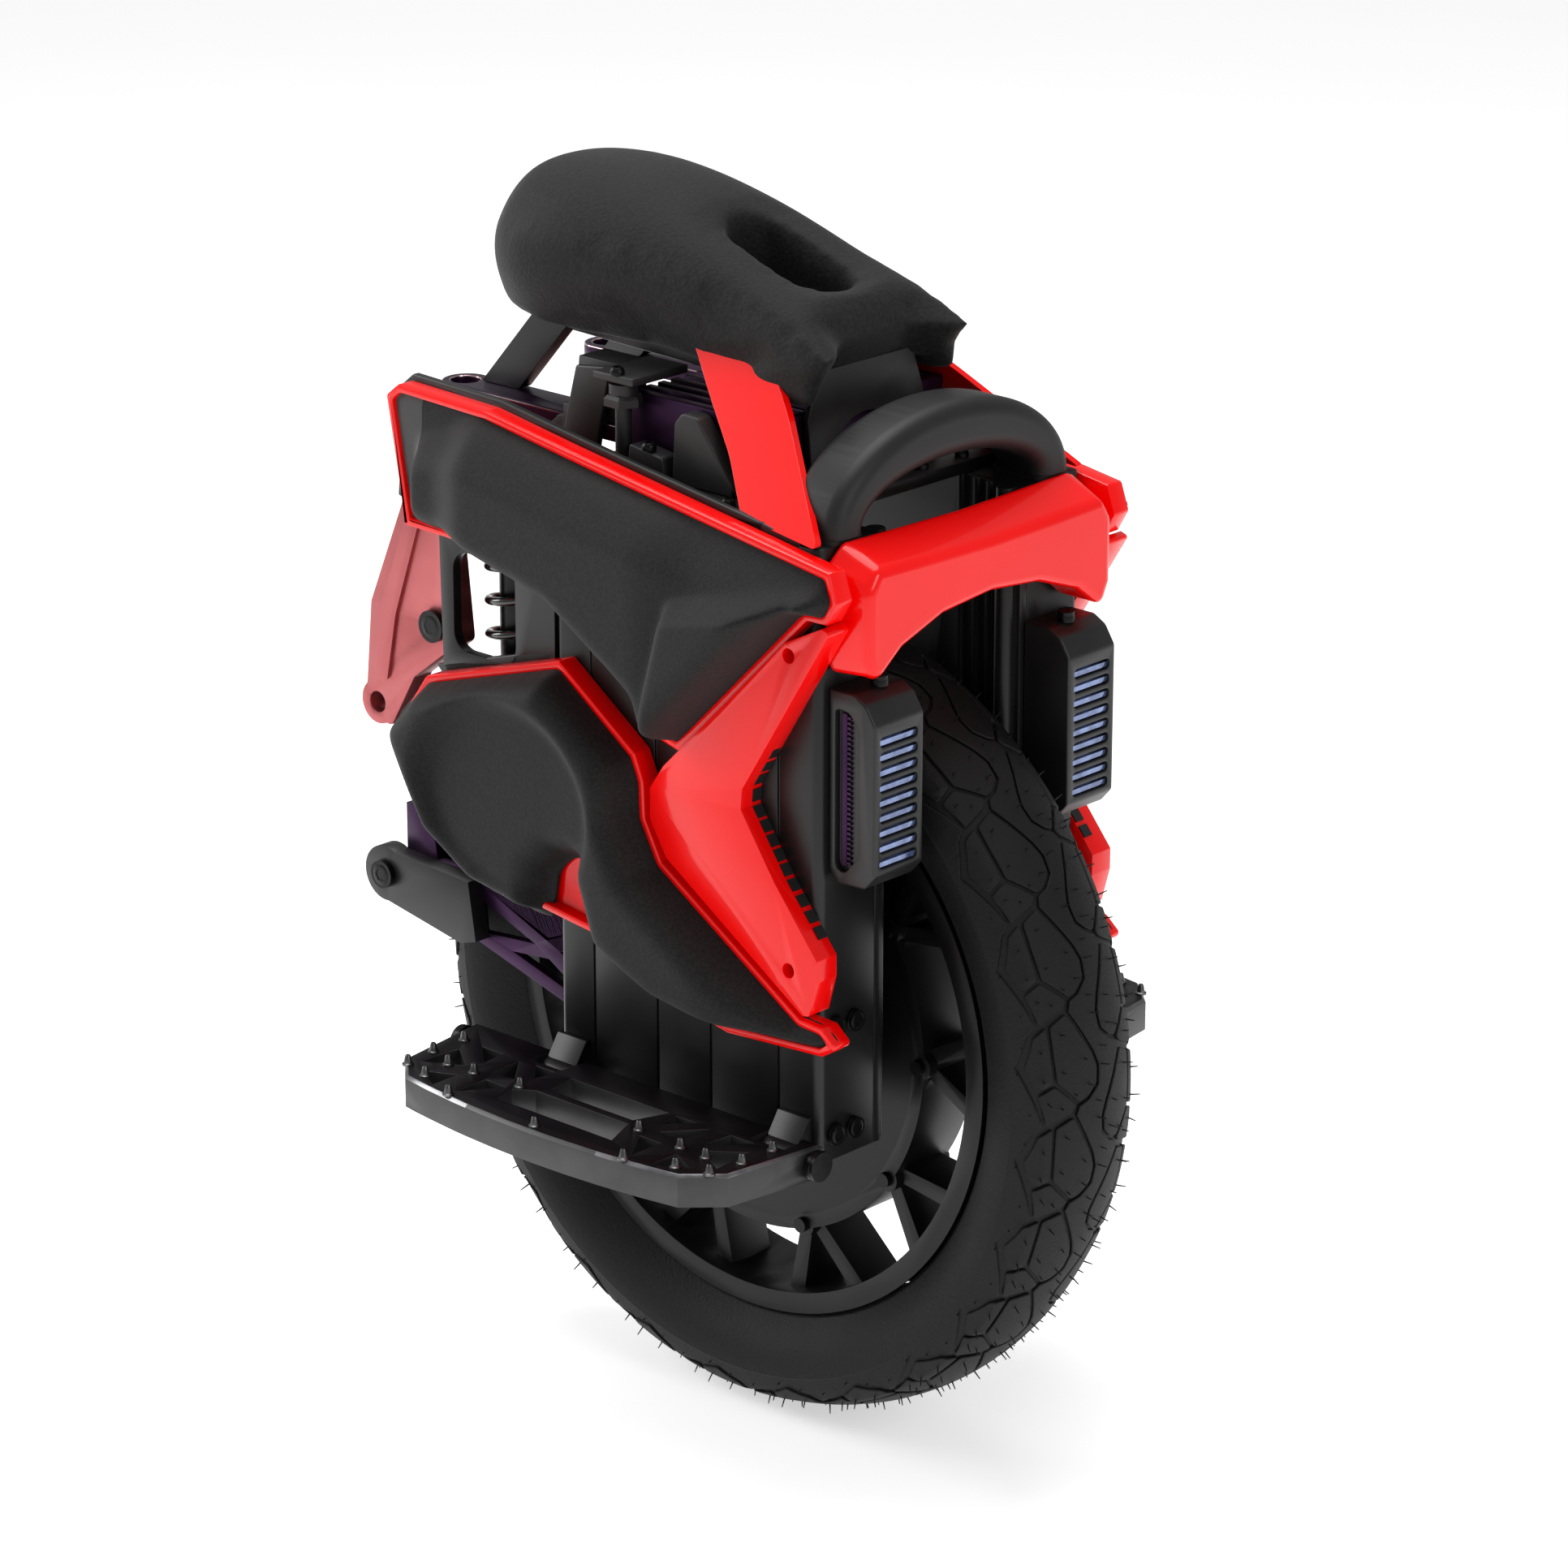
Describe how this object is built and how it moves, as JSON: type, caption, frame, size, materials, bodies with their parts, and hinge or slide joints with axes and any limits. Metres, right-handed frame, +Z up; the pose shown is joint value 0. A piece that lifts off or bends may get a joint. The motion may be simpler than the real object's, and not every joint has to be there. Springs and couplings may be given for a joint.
{
  "type": "electric unicycle",
  "caption": "Suspended self-balancing electric unicycle with saddle, leg pads, folding studded pedals, front bar and twin lamp pods, black and gloss red",
  "frame": {"origin": "on the ground, straight under the axle, on the machine's centre plane", "axes": "+Z up, +X forward (towards the nose bar and lamps), +Y to the machine's left; the axle lies along Y"},
  "size_m": [0.541, 0.436, 0.7559],
  "materials": {
    "tyre": "black rubber, moulded tread",
    "wheel_alloy": "satin black coated alloy",
    "motor_shell": "satin black coated alloy",
    "black_steel": "black oxide steel",
    "bright_steel": "turned steel",
    "copper_core": "wound stator",
    "frame_alloy": "satin black anodised alloy",
    "cover_black": "satin black anodised alloy",
    "battery_wrap": "shrink wrapped cells",
    "purple_alloy": "dark violet anodised alloy",
    "arch_black": "matt black moulding",
    "gasket": "black rubber",
    "gloss_red": "gloss red lacquer",
    "pod_black": "satin black moulding",
    "lamp_glass": "blue tinted clear plastic",
    "pad_skin": "black grained foam skin",
    "saddle_skin": "black grained leatherette",
    "red_anodised": "satin red anodised",
    "pedal_alloy": "dark grey blasted alloy",
    "spike_steel": "dark steel studs",
    "spring_black": "gloss black coated spring"
  },
  "bodies": {
    "chassis": {"arch_gaskets": "gasket", "battery_pack_left": "battery_wrap", "battery_pack_right": "battery_wrap", "body_screws": "black_steel", "controller_box": "purple_alloy", "front_arch": "arch_black", "lamp_lenses": "lamp_glass", "lamp_pod_left": "pod_black", "lamp_pod_right": "pod_black", "lower_pad_left": "pad_skin", "lower_pad_right": "pad_skin", "lower_panel_left": "gloss_red", "lower_panel_right": "gloss_red", "mudguard": "pod_black", "nose_bar": "gloss_red", "pedal_clips": "frame_alloy", "pedal_pins": "black_steel", "rear_arms": "pod_black", "rear_bar": "black_steel", "rear_link_left": "red_anodised", "rear_link_right": "red_anodised", "rear_plates": "frame_alloy", "rear_rails": "purple_alloy", "rear_truss_left": "purple_alloy", "rear_truss_right": "purple_alloy", "seat": "saddle_skin", "seat_pan": "pod_black", "seat_posts": "frame_alloy", "shock_bodies": "black_steel", "shock_hangers": "frame_alloy", "shock_springs": "spring_black", "side_cover_left": "cover_black", "side_cover_right": "cover_black", "side_frame_left": "frame_alloy", "side_frame_right": "frame_alloy", "side_trim_left": "gloss_red", "side_trim_right": "gloss_red", "strut_left": "gloss_red", "strut_right": "gloss_red", "top_deck": "frame_alloy", "upper_pad_left": "pad_skin", "upper_pad_right": "pad_skin", "upper_panel_left": "gloss_red", "upper_panel_right": "gloss_red"},
    "unsprung": {"axle": "bright_steel", "stator": "copper_core", "slider_left": "frame_alloy", "slider_right": "frame_alloy", "axle_nuts": "bright_steel", "shock_shafts": "bright_steel"},
    "wheel": {"tyre": "tyre", "rim": "wheel_alloy", "motor_cover_left": "motor_shell", "motor_cover_right": "motor_shell", "motor_screws": "black_steel", "valve_stem": "gasket"},
    "pedal_left": {"pedal_left": "pedal_alloy", "pedal_spikes_left": "spike_steel"},
    "pedal_right": {"pedal_right": "pedal_alloy", "pedal_spikes_right": "spike_steel"}
  },
  "joints": [
    {"name": "suspension_travel", "type": "slide", "parent": "chassis", "child": "unsprung", "axis": [0, 0, 1], "range_m": [0, 0.075], "stiffness_N_per_m": 20000, "springref_m": -0.02, "deforming": ["shock_springs"]},
    {"name": "wheel_spin", "type": "hinge", "parent": "unsprung", "child": "wheel", "pos_m": [0, 0, 0.253], "axis": [0, 1, 0], "continuous": true},
    {"name": "pedal_left_fold", "type": "hinge", "parent": "chassis", "child": "pedal_left", "pos_m": [0, 0.126, 0.225], "axis": [1, 0, 0], "range_deg": [0, 60]},
    {"name": "pedal_right_fold", "type": "hinge", "parent": "chassis", "child": "pedal_right", "pos_m": [0, -0.126, 0.225], "axis": [-1, 0, 0], "range_deg": [0, 60]}
  ]
}
